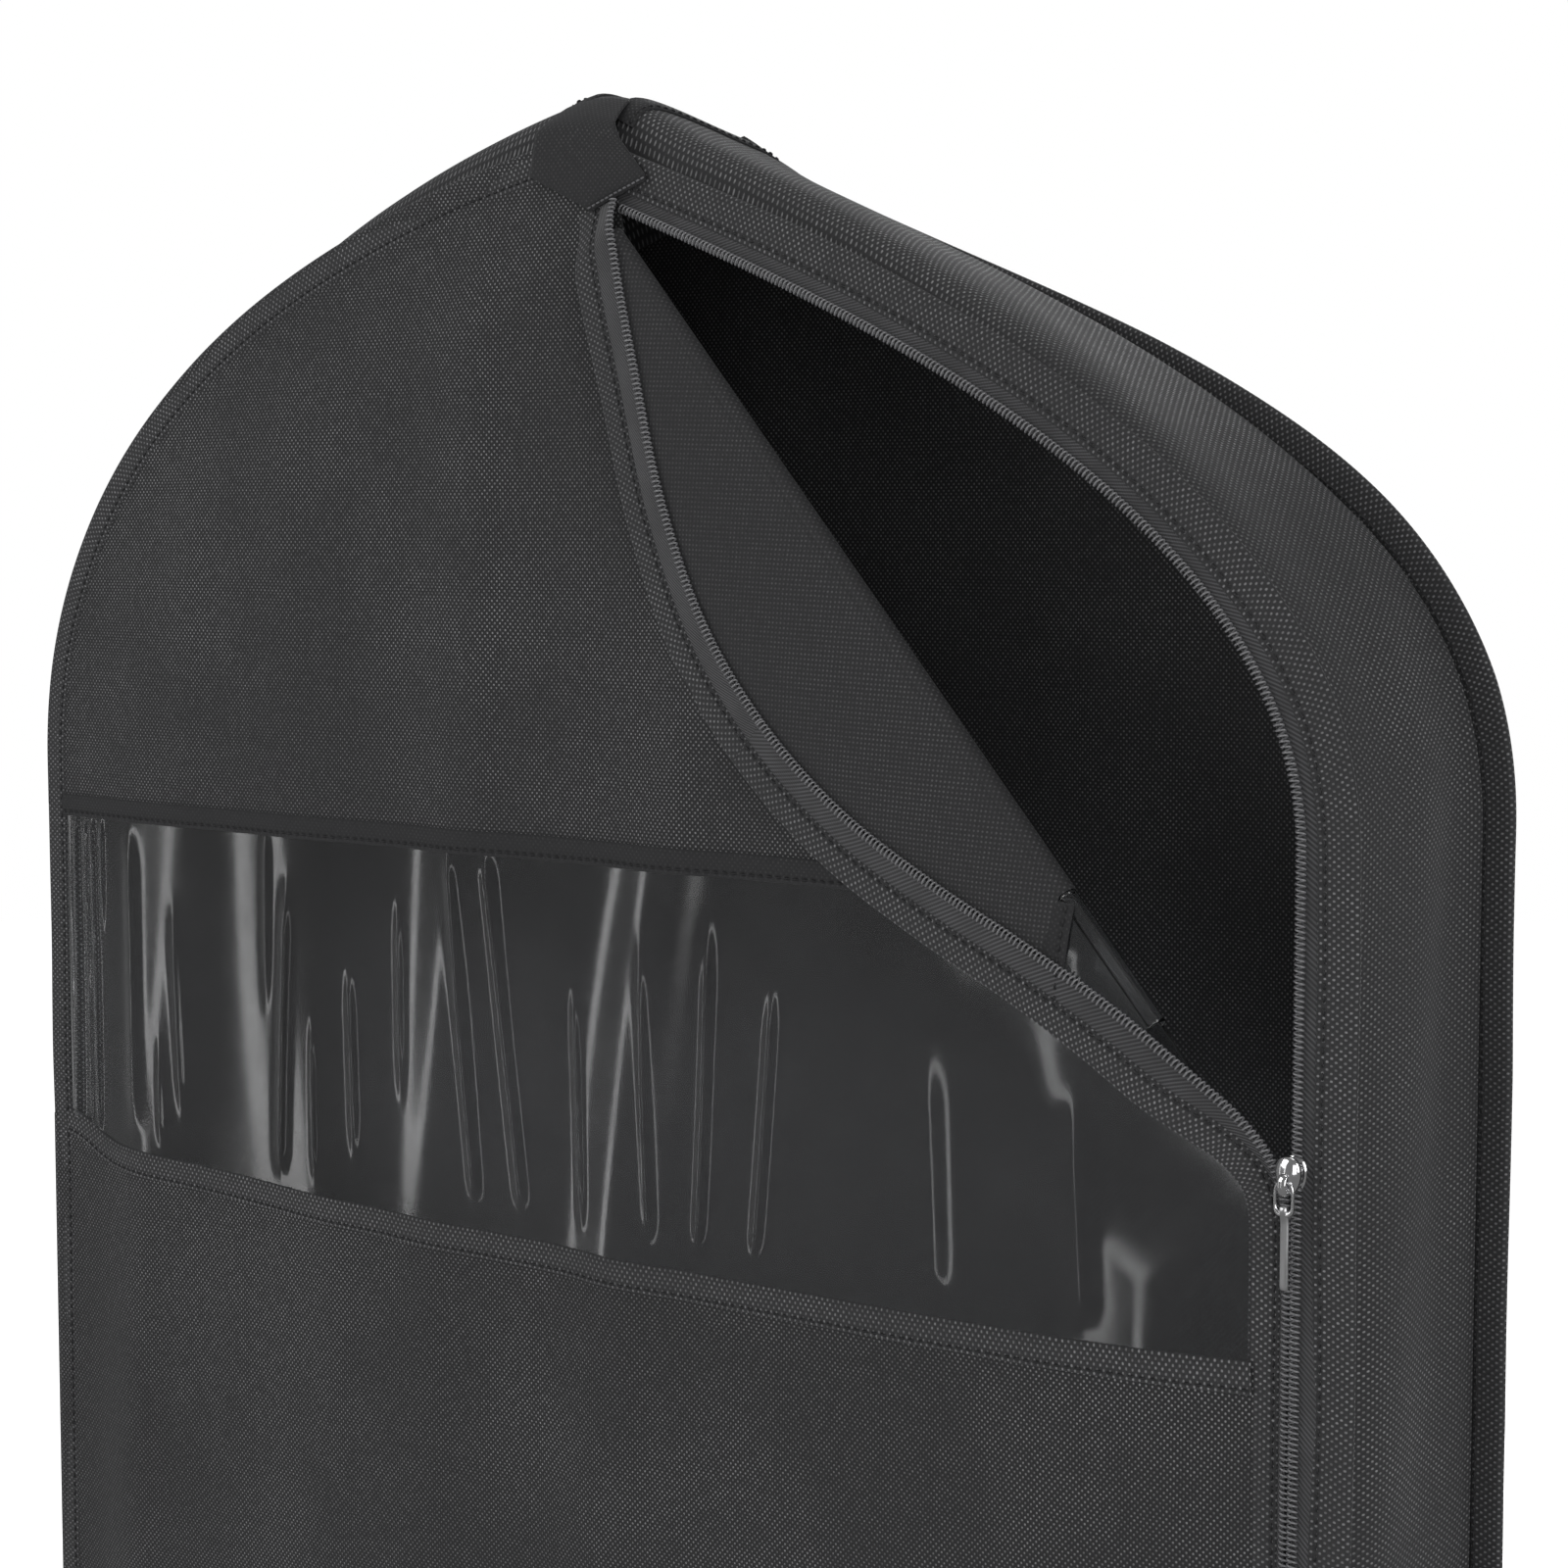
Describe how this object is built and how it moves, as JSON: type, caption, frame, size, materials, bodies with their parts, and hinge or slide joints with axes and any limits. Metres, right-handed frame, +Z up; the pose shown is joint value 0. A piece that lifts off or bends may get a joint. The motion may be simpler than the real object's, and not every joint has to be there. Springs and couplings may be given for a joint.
{
  "type": "garment bag",
  "caption": "Gusseted hanging garment bag with curved shoulders, a clear window across the front, and a zip down one shoulder and side that is part open with the freed corner folded out",
  "frame": {"origin": "the middle of the hook opening, on the ridge of the shoulders", "axes": "X is the width with the zip at +X, +Y is the back and -Y the front, +Z is up and runs along the length"},
  "size_m": [0.61, 0.1161, 1.0979],
  "materials": {
    "nonwoven": "charcoal embossed non-woven, staggered raised dots, matt with a faint sheen",
    "hem": "charcoal non-woven strip, folded and stitched",
    "film": "clear flexible film, glossy with soft folds",
    "zip_tape": "dark grey woven twill tape",
    "zip_coil": "glossy dark nylon coil",
    "slider_metal": "polished plating",
    "pull_metal": "satin plating"
  },
  "bodies": {
    "root": {"front_upper_panel": "nonwoven", "front_lower_panel": "nonwoven", "clear_window": "film", "window_top_binding": "hem", "window_bottom_binding": "hem", "back_panel": "nonwoven", "gusset_left": "nonwoven", "gusset_right": "nonwoven", "gusset_bottom": "nonwoven", "front_seam_binding_left": "hem", "front_seam_binding_right": "hem", "back_seam_binding_left": "hem", "back_seam_binding_right": "hem", "hook_slot_hem_left": "hem", "hook_slot_hem_right": "hem", "peak_patch_front": "hem", "peak_patch_back": "hem", "zip_tape_right": "zip_tape", "zip_coil_right": "zip_coil", "zip_tape_left_lower": "zip_tape", "zip_coil_left_lower": "zip_coil", "zip_facing_lower": "hem", "zip_bottom_stop": "slider_metal"},
    "flap": {"front_flap": "nonwoven", "flap_window": "film", "flap_window_binding": "hem", "zip_facing_upper": "hem", "zip_tape_left_upper": "zip_tape", "zip_coil_left_upper": "zip_coil"},
    "slider": {"slider_body": "slider_metal", "slider_cap": "slider_metal"},
    "link": {"pull_link": "slider_metal"},
    "tab": {"pull_tab": "pull_metal"}
  },
  "joints": [
    {"name": "flap_fold", "type": "hinge", "parent": "root", "child": "flap", "pos_m": [0.02, -0.0543, -0.048], "axis": [-0.6625, 0, 0.7491], "range_deg": [0, 178]},
    {"name": "slider_travel", "type": "slide", "parent": "root", "child": "slider", "axis": [0, 0, -1], "range_m": [0, 0.71]},
    {"name": "link_swing", "type": "hinge", "parent": "slider", "child": "link", "pos_m": [0.2845, -0.0563, -0.3371], "axis": [-1, 0, 0], "range_deg": [0, 120]},
    {"name": "tab_swing", "type": "hinge", "parent": "link", "child": "tab", "pos_m": [0.2845, -0.0563, -0.3446], "axis": [-1, 0, 0], "range_deg": [0, 60]}
  ]
}
